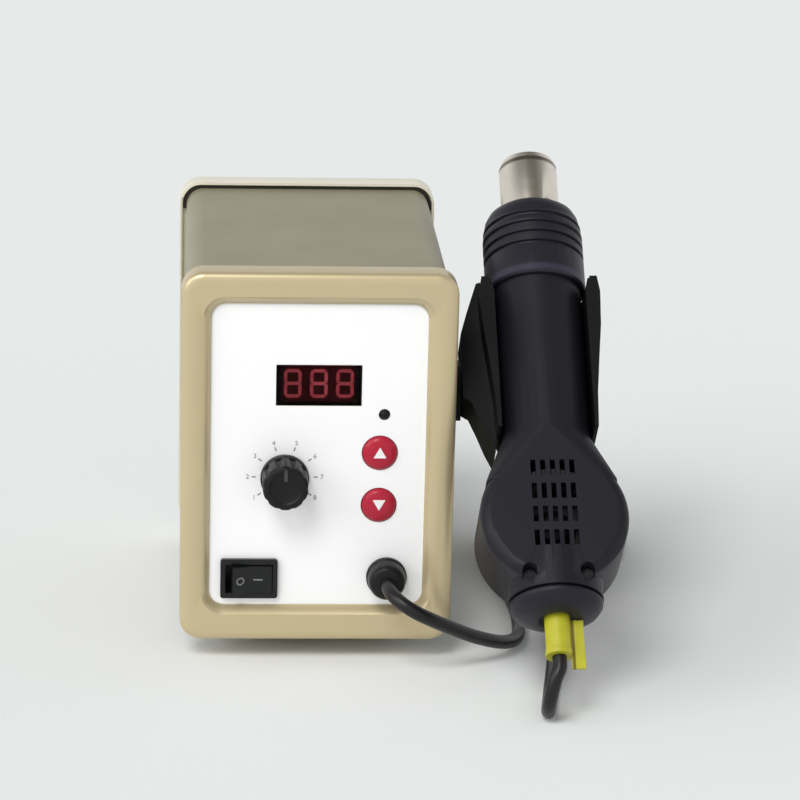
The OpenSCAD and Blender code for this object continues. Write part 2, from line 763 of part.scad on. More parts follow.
// The switch that the holder's magnet closes when the handle is parked
module reed_switch()
  color("#3f7a52") at_handle() translate([0, 0, 8]) {
    translate([-4, grip_r - shell_t - 1.8, -9]) cube([8, 1.2, 18]);
    translate([0, grip_r - shell_t - 3.1, -7]) cylinder(r = 1.3, h = 14);
  }

module tail_cap()
  color("#232226") at_handle() rotate_extrude()
    polygon([[sleeve_r, tail_s + 1.8], [14.4, tail_s + 1.8], [14.4, tail_s], [15.6, tail_s],
      [15.6, tail_s - 0.8], [17, tail_s - 1.2], [16.7, tail_s - 2.6], [15.2, tail_s - 4.6],
      [12.4, tail_s - 6.2], [9, cap_end], [6.6, cap_end], [5.9, cap_end + 1.2], [sleeve_r, cap_end + 1.2]]);

// The yellow sleeve on the cord: a tube with an end ring and a flat flag on its right side
module cord_sleeve()
  color("#c8cc20") at_handle() {
    rotate_extrude()
      polygon([[0, sleeve_end], [4.9, sleeve_end], [4.9, sleeve_end + 2], [sleeve_r, sleeve_end + 2],
        [sleeve_r, tail_s + 1.5], [0, tail_s + 1.5]]);
    translate([flag_in, -0.5, flag_low]) cube([5, 1, 18.8]);
  }

// A tube along a route: a ring of points stands square to the route at each of its points
cord_sides = 10;
function along(route, i) =
  let (d = route[min(i + 1, len(route) - 1)] - route[max(i - 1, 0)]) d / norm(d);
function ring(route, i, r, ref) =
  let (t = along(route, i), u = cross(t, ref) / norm(cross(t, ref)), v = cross(t, u))
  [for (k = [0:cord_sides - 1]) let (a = 360 * k / cord_sides) route[i] + r * (cos(a) * u + sin(a) * v)];

module route_tube(route, r, ref) {
  n = cord_sides;
  last = len(route) - 1;
  polyhedron(
    points = [for (i = [0:last], p = ring(route, i, r, ref)) p],
    faces = concat(
      [[for (k = [0:n - 1]) k]],
      [for (i = [0:last - 1], k = [0:n - 1])
        let (a = i * n + k, b = i * n + (k + 1) % n) [b, a, a + n, b + n]],
      [[for (k = [n - 1:-1:0]) last * n + k]]),
    convexity = 6);
}

// From the gland down to the table, behind the handle's tail and back to the coil
route_out = [[26, gland_front, 24.2], [26, -9, 24.2], [26.8, -13, 23.7], [28.8, -16.6, 22.4], [32, -19, 20.5],
  [36, -19.8, 18.2], [40, -18.8, 15.9], [44, -16.8, 13.4], [48.5, -14, 10.6], [53, -11, 7.7],
  [58, -7.8, 4.8], [63, -4.2, 2.2], [67.6, 0, -0.2], [71.6, 5.2, -2.2], [74.8, 11.5, -3.8],
  [77, 19, -4.9], [78.2, 28, lay_z], [78.8, 40, lay_z], [78.6, 54, lay_z], [77.6, 70, lay_z],
  [76.1, 86, lay_z], [74.7, 100, lay_z], [74, 111, lay_z], [74, 119.5, lay_z]];

// From the top of the coil down to the table, forward below the handle and up into its tail
route_back = [[122.5, 106.5, 13.2], [118.4, 99.6, 11.8], [113, 91, 7.2], [108, 82.4, 1], [103.4, 73.8, -3.6],
  [99.3, 65, lay_z], [96.4, 56, lay_z], [94.6, 46.5, lay_z], [93.4, 36.5, lay_z], [92.2, 26, lay_z],
  [90.7, 13, lay_z], [88.8, -1, lay_z], [86.9, -15, lay_z], [85, -29, lay_z], [83.5, -40, lay_z],
  [82.5, -47.5, lay_z], [81.6, -54.5, lay_z], [81.1, -59, -4.6], [80.8, -62.8, -2], [80.9, -65.3, 1.8],
  [81.5, -66.2, 6.3], [82.6, -65.5, 10.6], [84.1, -63.7, 13.8], [84.1, -60.7, 16.8]];

module handle_cord_out() color("#1b1b1d") place() route_tube(route_out, cord_d / 2, [0, 0, 1]);
module handle_cord_back() color("#1b1b1d") place() route_tube(route_back, cord_d / 2, [1, 0, 0]);

module cord_coil()
  color("#1b1b1d") place() translate([coil_at[0], coil_at[1], -foot_h])
    rotate_extrude() translate([coil_r - cord_d / 2, 0]) square([cord_d, coil_top + foot_h]);

front_bezel();
front_panel();
display_window();
display_module();
display_digits();
indicator_lamp();
up_button();
down_button();
airflow_knob();
knob_pointer();
pot_shaft();
pot_body();
control_board();
board_parts();
board_standoffs();
switch_body();
switch_rocker();
cord_gland();
gland_nut();
case_cover();
base_tray();
rear_bezel();
rear_panel();
mains_inlet();
inlet_pins();
fuse_holder();
power_board();
power_parts();
transformer_core();
transformer_coil();
heat_sink();
feet();
foot_screws();
case_screws();
holder_bracket();
holder_cradle();
holder_screws();
park_magnet();
shell_front();
shell_rear();
shell_screws();
heater_collar();
heater_tube();
mica_sleeve();
heater_core();
fan_motor();
fan_impeller();
reed_switch();
tail_cap();
cord_sleeve();
handle_cord_out();
cord_coil();
handle_cord_back();
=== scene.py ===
"""Looks of a hot air rework station: a desk case and a corded hot air handle in its side holder."""

import logging
import math
from dataclasses import dataclass, replace
from enum import Enum
from functools import cache
from typing import Any, Optional, Sequence, Union

import bmesh
import bpy
from mathutils import Matrix, Vector
from mathutils.bvhtree import BVHTree


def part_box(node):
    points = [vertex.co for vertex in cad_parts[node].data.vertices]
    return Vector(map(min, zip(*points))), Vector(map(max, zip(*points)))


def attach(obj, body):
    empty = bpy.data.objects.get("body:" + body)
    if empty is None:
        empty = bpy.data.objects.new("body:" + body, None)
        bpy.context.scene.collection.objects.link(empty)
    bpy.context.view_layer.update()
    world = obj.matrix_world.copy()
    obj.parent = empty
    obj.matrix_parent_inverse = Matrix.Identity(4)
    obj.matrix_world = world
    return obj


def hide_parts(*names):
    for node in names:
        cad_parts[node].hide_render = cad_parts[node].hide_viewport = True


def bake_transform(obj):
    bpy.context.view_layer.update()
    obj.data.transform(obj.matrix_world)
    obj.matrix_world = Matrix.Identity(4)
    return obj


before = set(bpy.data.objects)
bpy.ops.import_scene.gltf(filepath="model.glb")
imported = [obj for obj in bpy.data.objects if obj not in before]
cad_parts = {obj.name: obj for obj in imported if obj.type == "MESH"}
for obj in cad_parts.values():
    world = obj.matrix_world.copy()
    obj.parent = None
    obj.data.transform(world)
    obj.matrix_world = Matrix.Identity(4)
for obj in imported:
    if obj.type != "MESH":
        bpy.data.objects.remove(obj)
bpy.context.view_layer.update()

log = logging.getLogger("station")

MM = 0.001
MICRON = 0.000001
CASE_SHIFT = Vector((-30.0555, -42.754, 8.0))
HANDLE_AT = Vector((82.4, 15.0, 92.5))
HANDLE_LEAN = math.radians(45.0)
HANDLE_TOE = math.radians(0.9)
UPRIGHT = Matrix.Rotation(math.radians(90.0), 4, "X")
VECTOR = "NodeSocketVector"
NUMBER = "NodeSocketFloat"
SHEEN_SPREAD = 0.06
SHEEN_LEAST = 0.03
CREASE_FROM = 35.0
IN_FRONT = -1.0

Rgb = tuple[float, float, float]
Point = tuple[float, float, float]
Pair = tuple[float, float]
Node = bpy.types.Node
Socket = bpy.types.NodeSocket
Piece = bpy.types.Object
Shape = bmesh.types.BMesh
Vert = bmesh.types.BMVert
Edge = bmesh.types.BMEdge
Feed = dict[Union[str, int], Any]
Tone = Union[Socket, Sequence[float]]
ALONG_X: Point = (1.0, 0.0, 0.0)
ALONG_Y: Point = (0.0, 1.0, 0.0)
ALONG_Z: Point = (0.0, 0.0, 1.0)


class Zone(Enum):
    """The CAD bodies that a piece can ride on."""

    CASE = "root"
    HANDLE = "handle"
    KNOB = "knob"
    UP = "up_key"
    DOWN = "down_key"
    ROCKER = "rocker"


def case_point(x: float, y: float, z: float) -> Vector:
    """Gives a point of the case's own millimetres in the row frame, in metres.

    Args:
        x: Place to the right of the case's middle.
        y: Place behind the case's front face.
        z: Height above the case's lower edge.

    Returns:
        The point in metres.
    """
    return (Vector((x, y, z)) + CASE_SHIFT) * MM


def handle_matrix() -> Matrix:
    """Gives the transform from the handle's own metres, z to the nozzle, to the row frame."""
    turned = Matrix.Rotation(-HANDLE_LEAN, 4, "X") @ Matrix.Rotation(-HANDLE_TOE, 4, "Y")
    return Matrix.Translation(case_point(*HANDLE_AT)) @ turned


def colour(code: str) -> Rgb:
    """Turns a colour written as six hex digits into linear light.

    Args:
        code: The colour as it shows on a screen, such as "d3c69a".

    Returns:
        Red, green and blue in linear light.
    """
    parts = [int(code[i:i + 2], 16) / 255.0 for i in (0, 2, 4)]
    return tuple(p / 12.92 if p <= 0.04045 else ((p + 0.055) / 1.055) ** 2.4 for p in parts)


class Graph:
    """A node tree with a short call that adds a node and joins what feeds it."""

    def __init__(self, tree: bpy.types.NodeTree) -> None:
        """Keeps the tree."""
        self.tree = tree

    def add(self, kind: str, inputs: Optional[Feed] = None, **options: Any) -> bpy.types.NodeOutputs:
        """Adds a node.

        Args:
            kind: The node's type.
            inputs: Socket or value for each input that is joined or set.
            options: The node's own options, such as its operation, which are set first.

        Returns:
            The node's outputs.
        """
        node = self.tree.nodes.new(kind)
        for label, option in options.items():
            setattr(node, label, option)
        self.feed(node, inputs or {})
        return node.outputs

    def feed(self, node: Node, inputs: Feed) -> None:
        """Joins sockets to a node's inputs, and sets those that get a plain value.

        Args:
            node: The node.
            inputs: Socket or value for each input, by label or number.
        """
        for label, value in inputs.items():
            if isinstance(value, Socket):
                self.tree.links.new(value, node.inputs[label])
            else:
                node.inputs[label].default_value = value

    def mix(self, factor: Socket, low: Tone, high: Tone) -> Socket:
        """Mixes two colours.

        Args:
            factor: The socket that drives the mix.
            low: The colour at 0, as a socket or as linear light.
            high: The colour at 1, as a socket or as linear light.

        Returns:
            The colour socket.
        """
        low, high = (tone if isinstance(tone, Socket) else (*tone, 1.0) for tone in (low, high))
        return self.add("ShaderNodeMix", {"Factor": factor, "A": low, "B": high}, data_type="RGBA")["Result"]


class SurfaceEffects:
    """The node groups that several finishes share, each built once."""

    @staticmethod
    def _start(name: str, inputs: dict[str, Optional[float]], outputs: dict[str, str]
               ) -> tuple[Graph, bpy.types.NodeOutputs, Node]:
        """Starts a node group.

        Args:
            name: Name of the group.
            inputs: Default of each number that it reads, or None for a vector.
            outputs: Socket type of each value that it gives.

        Returns:
            The group, what its input node gives and its output node.
        """
        tree = bpy.data.node_groups.new(name, "ShaderNodeTree")
        for label, value in inputs.items():
            kind = VECTOR if value is None else NUMBER
            socket = tree.interface.new_socket(name=label, in_out="INPUT", socket_type=kind)
            if value is not None:
                socket.default_value = value
        for label, kind in outputs.items():
            tree.interface.new_socket(name=label, in_out="OUTPUT", socket_type=kind)
        return Graph(tree), tree.nodes.new("NodeGroupInput").outputs, tree.nodes.new("NodeGroupOutput")

    @classmethod
    @cache
    def grain(cls) -> bpy.types.NodeTree:
        """Builds the group for moulded or painted grain: a bump and a slow drift over the surface.

        Returns:
            The group.
        """
        graph, enter, leave = cls._start(
            "surface_grain", {"Vector": None, "Grain": 2000.0, "Depth": 20 * MICRON, "Drift": 30.0},
            {"Normal": VECTOR, "Drift": NUMBER})
        fine = graph.add("ShaderNodeTexNoise", {"Vector": enter["Vector"], "Scale": enter["Grain"],
                                                "Detail": 3.0, "Roughness": 0.6})
        slow = graph.add("ShaderNodeTexNoise", {"Vector": enter["Vector"], "Scale": enter["Drift"],
                                                "Detail": 4.0})
        bump = graph.add("ShaderNodeBump", {"Height": fine["Fac"], "Distance": enter["Depth"]})
        graph.feed(leave, {"Normal": bump["Normal"], "Drift": slow["Fac"]})
        return graph.tree

    @classmethod
    @cache
    def dust(cls) -> bpy.types.NodeTree:
        """Builds the group for settled dust: a mask of faces that look up, broken into patches.

        Returns:
            The group.
        """
        graph, enter, leave = cls._start("settled_dust", {"Vector": None, "Amount": 0.2}, {"Mask": NUMBER})
        facing = graph.add("ShaderNodeSeparateXYZ", {"Vector": graph.add("ShaderNodeNewGeometry")["Normal"]})
        up = graph.add("ShaderNodeMapRange", {"Value": facing["Z"], "From Min": 0.2, "From Max": 0.95})
        patches = graph.add("ShaderNodeTexNoise", {"Vector": enter["Vector"], "Scale": 90.0, "Detail": 6.0})
        spread = graph.add("ShaderNodeMapRange", {"Value": patches["Fac"], "From Min": 0.35, "From Max": 0.7})
        both = graph.add("ShaderNodeMath", {0: up["Result"], 1: spread["Result"]}, operation="MULTIPLY")
        amount = graph.add("ShaderNodeMath", {0: both["Value"], 1: enter["Amount"]}, operation="MULTIPLY")
        graph.feed(leave, {"Mask": amount["Value"]})
        return graph.tree

    @classmethod
    @cache
    def band(cls) -> bpy.types.NodeTree:
        """Builds the group for a soft-edged band that lies square to a direction, the mask that places
        painted light and shade.

        Returns:
            The group.
        """
        graph, enter, leave = cls._start(
            "surface_band",
            {"Vector": None, "Direction": None, "Middle": 0.0, "Inner": 1 * MM, "Outer": 2 * MM},
            {"Mask": NUMBER})
        along = graph.add("ShaderNodeVectorMath", {0: enter["Vector"], 1: enter["Direction"]},
                          operation="DOT_PRODUCT")
        offset = graph.add("ShaderNodeMath", {0: along["Value"], 1: enter["Middle"]}, operation="SUBTRACT")
        away = graph.add("ShaderNodeMath", {0: offset["Value"]}, operation="ABSOLUTE")
        fade = graph.add("ShaderNodeMapRange", {"Value": away["Value"], "From Min": enter["Inner"],
                                                "From Max": enter["Outer"], "To Min": 1.0, "To Max": 0.0},
                         interpolation_type="SMOOTHSTEP")
        graph.feed(leave, {"Mask": fade["Result"]})
        return graph.tree

    @classmethod
    def lay_band(cls, graph: Graph, direction: Sequence[float], middle: float, half: float, fade: float
                 ) -> Socket:
        """Places the band on a surface's own coordinates.

        Args:
            graph: The material's nodes.
            direction: Unit direction that the band is square to.
            middle: Place of its middle along the direction, in metres.
            half: Half of its full width, in millimetres.
            fade: Width of its fading edge, in millimetres.

        Returns:
            The mask socket.
        """
        place = graph.add("ShaderNodeTexCoord")["Object"]
        return graph.add("ShaderNodeGroup", {"Vector": place, "Direction": direction, "Middle": middle,
                                             "Inner": half * MM, "Outer": (half + fade) * MM},
                         node_tree=cls.band())["Mask"]


@dataclass(frozen=True)
class PaintedLightBand:
    """A soft-edged band of another colour on the handle, in the handle's own millimetres, used to paint light
    and shade: painted highlights, painted reflections and painted shade lines.
    """

    code: str
    middle: float
    half_width: float
    softness: float
    across: Point = ALONG_Z

    def mask(self, graph: Graph) -> Socket:
        """Gives the band's mask.

        Args:
            graph: The material's nodes.

        Returns:
            The mask socket.
        """
        place = handle_matrix()
        turned = place.to_3x3() @ Vector(self.across)
        middle = place.translation.dot(turned) + self.middle * MM
        return SurfaceEffects.lay_band(graph, turned, middle, self.half_width, self.softness)


@dataclass(frozen=True)
class Finish:
    """A moulded, painted or plated surface with grain, slow drift of colour, bands of painted light and
    shade, and settled dust.

    The grain's depth is in micrometres.
    """

    name: str
    base: str
    roughness: float = 0.5
    metallic: float = 0.0
    specular: float = 0.5
    coat: float = 0.0
    coat_roughness: float = 0.1
    grain: float = 2200.0
    depth: float = 30.0
    drift: float = 0.08
    drift_size: float = 35.0
    dust: float = 0.0
    dust_colour: str = "b9b6ae"
    stretch: Point = (1.0, 1.0, 1.0)
    bands: tuple[PaintedLightBand, ...] = ()

    @cache
    def material(self) -> bpy.types.Material:
        """Gives the finish as a Blender material, which is built on first use."""
        return self.build()

    def build(self) -> bpy.types.Material:
        """Builds the material's nodes.

        Returns:
            The material.
        """
        material, graph, shader = self._start()
        vector = self._vector(graph)
        grain = graph.add("ShaderNodeGroup", {"Vector": vector, "Grain": self.grain, "Drift": self.drift_size,
                                              "Depth": self.depth * MICRON}, node_tree=SurfaceEffects.grain())
        least = max(SHEEN_LEAST, self.roughness - SHEEN_SPREAD)
        most = min(1.0, self.roughness + SHEEN_SPREAD)
        sheen = graph.add("ShaderNodeMapRange", {"Value": grain["Drift"], "To Min": least, "To Max": most})
        tone = self._tone(graph, grain["Drift"])
        if self.dust > 0.0:
            dust = graph.add("ShaderNodeGroup", {"Vector": vector, "Amount": self.dust},
                             node_tree=SurfaceEffects.dust())
            tone = graph.mix(dust["Mask"], tone, colour(self.dust_colour))
        graph.feed(shader, {"Normal": grain["Normal"], "Roughness": sheen["Result"], "Base Color": tone})
        return material

    def _start(self) -> tuple[bpy.types.Material, Graph, Node]:
        """Starts a material and sets what is the same all over it.

        Returns:
            The material, its nodes and its Principled BSDF.
        """
        material = bpy.data.materials.new(f"look_{self.name}")
        material.use_nodes = True
        graph = Graph(material.node_tree)
        shader = graph.tree.nodes["Principled BSDF"]
        graph.feed(shader, {"Metallic": self.metallic, "Specular IOR Level": self.specular,
                            "Coat Weight": self.coat, "Coat Roughness": self.coat_roughness})
        return material, graph, shader

    def _vector(self, graph: Graph) -> Socket:
        """Gives object coordinates, stretched where the grain runs one way.

        Args:
            graph: The material's nodes.

        Returns:
            The vector socket that the patterns read.
        """
        place = graph.add("ShaderNodeTexCoord")["Object"]
        if self.stretch == (1.0, 1.0, 1.0):
            return place
        return graph.add("ShaderNodeMapping", {"Vector": place, "Scale": self.stretch})["Vector"]

    def _slow(self, graph: Graph) -> Socket:
        """Gives a slow drift over the surface."""
        drift = {"Vector": self._vector(graph), "Scale": self.drift_size}
        return graph.add("ShaderNodeTexNoise", drift)["Fac"]

    def _tone(self, graph: Graph, factor: Socket) -> Socket:
        """Mixes a slightly lighter and a slightly darker base colour, with the bands of painted light and
        shade over them.

        Args:
            graph: The material's nodes.
            factor: The socket that drives the mix.

        Returns:
            The colour socket.
        """
        light = Vector(colour(self.base))
        tone = graph.mix(factor, light * (1.0 + self.drift), light * (1.0 - self.drift))
        for band in self.bands:
            tone = graph.mix(band.mask(graph), tone, colour(band.code))
        return tone


@dataclass(frozen=True)
class SmokedGlass(Finish):
    """A clear window of tinted plastic."""

    ior: float = 1.12

    def build(self) -> bpy.types.Material:
        """Builds the tinted window.

        Returns:
            The material.
        """
        material, graph, shader = self._start()
        slow = self._slow(graph)
        graph.feed(shader, {"Transmission Weight": 1.0, "IOR": self.ior, "Roughness": self.roughness,
                            "Base Color": self._tone(graph, slow)})
        return material


@dataclass(frozen=True)
class LitSegment(Finish):
    """A glowing bar of a digit."""

    glow: str = "ff4050"
    strength: float = 1.0
    glow_most: float = 1.15
    glow_least: float = 0.8

    def build(self) -> bpy.types.Material:
        """Builds the glowing bar.

        Returns:
            The material.
        """
        material, graph, shader = self._start()
        slow = self._slow(graph)
        graph.feed(shader, {"Emission Color": self._light(graph, slow), "Base Color": self._tone(graph, slow),
                            "Emission Strength": self.strength})
        return material

    def _light(self, graph: Graph, factor: Socket) -> Socket:
        """Mixes a slightly stronger and a slightly dimmer glow."""
        light = Vector(colour(self.glow))
        return graph.mix(factor, light * self.glow_most, light * self.glow_least)


@dataclass(frozen=True)
class PaintedStrayGlow(LitSegment):
    """The display's dark body with a painted glow that stands in for the light of its digits, but for a black
    border.
    """

    node: str = "display_window"
    half_size: Pair = (12.2, 5.9)
    softness: float = 1.3

    def _light(self, graph: Graph, factor: Socket) -> Socket:
        """Fades the painted glow out towards the window's edges.

        Args:
            graph: The material's nodes.
            factor: The socket that drives the glow's drift.

        Returns:
            The colour socket.
        """
        lit = super()._light(graph, factor)
        low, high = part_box(self.node)
        for direction, half in zip((ALONG_X, ALONG_Z), self.half_size):
            middle = Vector(direction).dot(low + high) / 2
            mask = SurfaceEffects.lay_band(graph, direction, middle, half, self.softness)
            lit = graph.mix(mask, (0.0, 0.0, 0.0), lit)
        return lit


GOLD = Finish("bezel_gold", "c6b68f", 0.36, metallic=0.4, coat=0.35, coat_roughness=0.16, grain=1500,
              depth=4, drift=0.04, dust=0.02)
# The rear bezel is the same gold as the front one, painted paler to stand in for the light on its top face.
GOLD_PAINTED_PALER = Finish("bezel_gold_rear_painted_paler", "ece6d1", 0.4, metallic=0.1, coat=0.3, coat_roughness=0.2, grain=1500,
                   depth=4, drift=0.04, dust=0.02)
ENAMEL = Finish("panel_enamel", "f8f8f7", 0.38, coat=0.3, coat_roughness=0.12, grain=900, depth=3,
                drift=0.012)
COVER_PAINT = Finish("cover_paint", "8f8970", 0.45, grain=1800, depth=12, drift=0.06, dust=0.03)
REAR_PAINT = Finish("rear_paint", "a6a394", 0.5, grain=1800, depth=10, drift=0.04)
BLACK = Finish("black_plastic", "141416", 0.38, specular=0.22, grain=2600, depth=8, drift=0.12, dust=0.003)
SWITCH_BLACK = Finish("switch_plastic", "151617", 0.3, specular=0.3, grain=2600, depth=6, drift=0.1)
HANDLE_BLACK = Finish("handle_plastic", "1a1920", 0.46, specular=0.22, grain=2400, depth=10, drift=0.12,
                      dust=0.004)
HOLDER_BLACK = replace(HANDLE_BLACK, name="holder_plastic", base="0f0f10", roughness=0.45, specular=0.16,
                       drift=0.15)
# The collar's lighter band near its lower rim is a painted highlight.
COLLAR_BLACK = replace(HANDLE_BLACK, name="collar_plastic", base="201f27", roughness=0.4, specular=0.24,
                       bands=(PaintedLightBand("353340", 42.3, 0.5, 1.6),))
TAIL_BLACK = replace(HANDLE_BLACK, name="tail_plastic", base="1e1d26", roughness=0.42)
RED = Finish("key_red", "ae1c34", 0.36, specular=0.25, coat=0.15, grain=1800, depth=3, drift=0.05)
WHITE_MARK = Finish("white_mark", "f2eeee", 0.5, drift=0.02)
GREY_MARK = Finish("grey_mark", "77797d", 0.5, drift=0.04)
DIAL_PRINT = Finish("dial_print", "8c8488", 0.5, drift=0.06)
POINTER = Finish("pointer_grey", "3c3c40", 0.5, drift=0.05)
STEEL = Finish("bare_steel", "b6b4ae", 0.32, metallic=1.0, grain=900, depth=5, drift=0.06)
SCREW_BLACK = Finish("screw_blacked", "2e2e31", 0.35, metallic=0.8, grain=900, depth=10, drift=0.08)
# Near-black for the painted shade in the screws' cross recesses.
RECESS_SHADE = Finish("screw_recess_shade", "1c1c1e", 0.6, drift=0.1)
# The tube's bands are painted: the darker streak down its length is a painted reflection, and the dark ring
# near its top is painted shade under the nozzle's rim.
TUBE_STEEL = Finish("tube_steel", "e4dcd0", 0.3, metallic=1.0, grain=500, depth=3, stretch=(1.0, 8.0, 8.0),
                    bands=(PaintedLightBand("c8bdae", 0.4, 0.7, 2.6, ALONG_X), PaintedLightBand("857c6f", 93.9, 0.4, 0.9)))
BRASS = Finish("brass_post", "c9a35a", 0.35, metallic=1.0, drift=0.06)
BOARD = Finish("board_green", "1d6b3a", 0.4, coat=0.4, drift=0.08)
DARK_PART = Finish("component_dark", "2a2a2d", 0.5, drift=0.1)
CORE_IRON = Finish("core_iron", "5a5c60", 0.5, metallic=0.7, grain=1200, depth=50, drift=0.1,
                   stretch=(1.0, 40.0, 1.0))
WINDING = Finish("winding_tape", "c8a548", 0.5, drift=0.06)
SINK = Finish("sink_metal", "a5a7a9", 0.4, metallic=1.0, drift=0.06)
RUBBER = Finish("foot_rubber", "141414", 0.75, specular=0.3, grain=1600, depth=20, drift=0.15, dust=0.01)
# Near-black for the painted shade in the gap at each bezel's mouth.
MOUTH_SHADE = Finish("mouth_shade_dark", "26241b", 0.7, specular=0.3, grain=1600, depth=20, drift=0.12)
MAGNET = Finish("magnet_plate", "b9babc", 0.2, metallic=1.0, drift=0.04)
MICA = Finish("mica_sheet", "cdbf9a", 0.35, coat=0.3, drift=0.12)
CERAMIC = Finish("heater_ceramic", "e6e2da", 0.7, grain=1400, depth=50, drift=0.06)
MOTOR = Finish("motor_lacquer", "2c2d31", 0.35, metallic=0.4, drift=0.06)
# The sleeve's dark line at the flag's root is painted shade: the shadow of the fold between the sleeve and
# its flag.
YELLOW = Finish("sleeve_yellow", "b4b024", 0.45, grain=1600, depth=10, drift=0.14, drift_size=260,
                bands=(PaintedLightBand("6a5c12", 5.15, 0.4, 0.35, ALONG_X),))
CORD_RUBBER = replace(HANDLE_BLACK, name="cord_rubber", base="151315", roughness=0.36, specular=0.35, depth=8)
TIE = Finish("tie_fabric", "0d0d0f", 0.85, specular=0.2, grain=3500, depth=120, drift=0.15)
WINDOW = SmokedGlass("smoked_window", "bc959a", 0.04, specular=0.2)
SEGMENT = LitSegment("display_red", "4a1016", 0.5, glow="f07c84", strength=0.42)
# The display body glows with painted light: the digits' stray light, faded out to a black border.
DISPLAY_BODY_PAINTED_GLOW = PaintedStrayGlow("display_body", "140406", 0.7, specular=0.1, glow="5a1014", strength=0.22)
FLOOR = Finish("floor_matt", "f1f3f2", 0.9, specular=0.1, grain=300, depth=10, drift=0.004, drift_size=2.0)

REST_FINISH: dict[str, Finish] = {
    "knob_pointer": POINTER, "pot_shaft": STEEL, "pot_body": DARK_PART, "control_board": BOARD,
    "board_parts": DARK_PART, "board_standoffs": BRASS, "display_module": DISPLAY_BODY_PAINTED_GLOW, "gland_nut": BLACK,
    "inlet_pins": STEEL, "power_board": BOARD, "power_parts": DARK_PART, "transformer_core": CORE_IRON,
    "transformer_coil": WINDING, "heat_sink": SINK, "park_magnet": MAGNET, "mica_sleeve": MICA,
    "heater_core": CERAMIC, "fan_motor": MOTOR, "fan_impeller": DARK_PART, "reed_switch": BOARD,
    "display_digits": SEGMENT, "display_window": WINDOW,
}


class Workshop:
    """Makes the pieces: merged copies of CAD nodes and new shapes from bmesh operators."""

    DOUBLES_WITHIN = 2e-6
    FLAT_WITHIN = 0.4
    END_FACING = 0.9

    @classmethod
    def merged(cls, node: str) -> Shape:
        """Gives a CAD node's surface with its doubles merged and its flat faces whole.

        Args:
            node: Name of the CAD node.

        Returns:
            A bmesh in the row frame, in metres.
        """
        shape = bmesh.new()
        shape.from_mesh(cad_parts[node].data)
        bmesh.ops.remove_doubles(shape, verts=shape.verts, dist=cls.DOUBLES_WITHIN)
        bmesh.ops.dissolve_limit(shape, angle_limit=math.radians(cls.FLAT_WITHIN), verts=shape.verts,
                                 edges=shape.edges, use_dissolve_boundaries=False)
        return shape

    @classmethod
    def rounded_bar(cls, size: Point, corner: float, steps: int) -> tuple[Shape, list[bmesh.types.BMFace]]:
        """Makes a bar that lies along y about the origin, with its long edges rounded.

        Args:
            size: Its sizes in millimetres.
            corner: Radius of its long edges in millimetres.
            steps: Steps of each rounding.

        Returns:
            The bmesh and its two end faces.
        """
        shape = bmesh.new()
        bmesh.ops.create_cube(shape, size=1.0)
        bmesh.ops.scale(shape, vec=Vector(size) * MM, verts=shape.verts)
        long = [e for e in shape.edges if abs(e.verts[0].co.y - e.verts[1].co.y) > size[1] / 2 * MM]
        bmesh.ops.bevel(shape, geom=long, offset=corner * MM, segments=steps, profile=0.5, affect="EDGES",
                        material=-1)
        return shape, [f for f in shape.faces if abs(f.normal.y) > cls.END_FACING]

    @staticmethod
    def finish_mesh(shape: Shape, name: str, finish: Finish, crease: float = CREASE_FROM) -> Piece:
        """Turns a bmesh into an object with a material, smooth but for its creases.

        Args:
            shape: The bmesh, which is freed.
            name: Name of the piece.
            finish: The finish that it gets.
            crease: Angle in degrees from which an edge stays sharp.

        Returns:
            The object, at the origin.
        """
        mesh = bpy.data.meshes.new(name)
        shape.to_mesh(mesh)
        shape.free()
        for face in mesh.polygons:
            face.use_smooth = True
        mesh.set_sharp_from_angle(angle=math.radians(crease))
        mesh.materials.append(finish.material())
        piece = bpy.data.objects.new(name, mesh)
        bpy.context.scene.collection.objects.link(piece)
        return piece

    @staticmethod
    def place(piece: Piece, zone: Zone) -> None:
        """Lets a piece ride on a body and reports it."""
        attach(piece, zone.value)
        log.info("%s rides on %s", piece.name, zone.value)

    @classmethod
    def add(cls, shape: Shape, name: str, finish: Finish, zone: Zone, slot: str) -> Piece:
        """Adds a piece that replaces no CAD node.

        Args:
            shape: Its bmesh, which is freed.
            name: Name of the piece.
            finish: The finish that it gets.
            zone: The body that it rides on.
            slot: Name of the record's material slot; not used.

        Returns:
            The piece.
        """
        piece = cls.finish_mesh(shape, name, finish)
        cls.place(piece, zone)
        return piece


@dataclass(frozen=True)
class Skin:
    """What a CAD node is dressed in: its finish, the body that it rides on and its rounded edges."""

    node: str
    finish: Finish
    zone: Zone = Zone.CASE
    edge: float = 0.0
    crease: float = CREASE_FROM
    edge_from: float = 50.0
    edge_steps: int = 2

    def dress(self) -> None:
        """Replaces the node by its merged copy, with rounded edges and the finish."""
        shape = Workshop.merged(self.node)
        piece = Workshop.finish_mesh(shape, f"{self.node}_skin", self.finish, self.crease)
        if self.edge > 0.0:
            rounding = piece.modifiers.new("edges", "BEVEL")
            rounding.width = self.edge * MM
            rounding.segments = self.edge_steps
            rounding.limit_method = "ANGLE"
            rounding.angle_limit = math.radians(self.edge_from)
            rounding.use_clamp_overlap = True
            rounding.harden_normals = True
        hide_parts(self.node)
        Workshop.place(piece, self.zone)


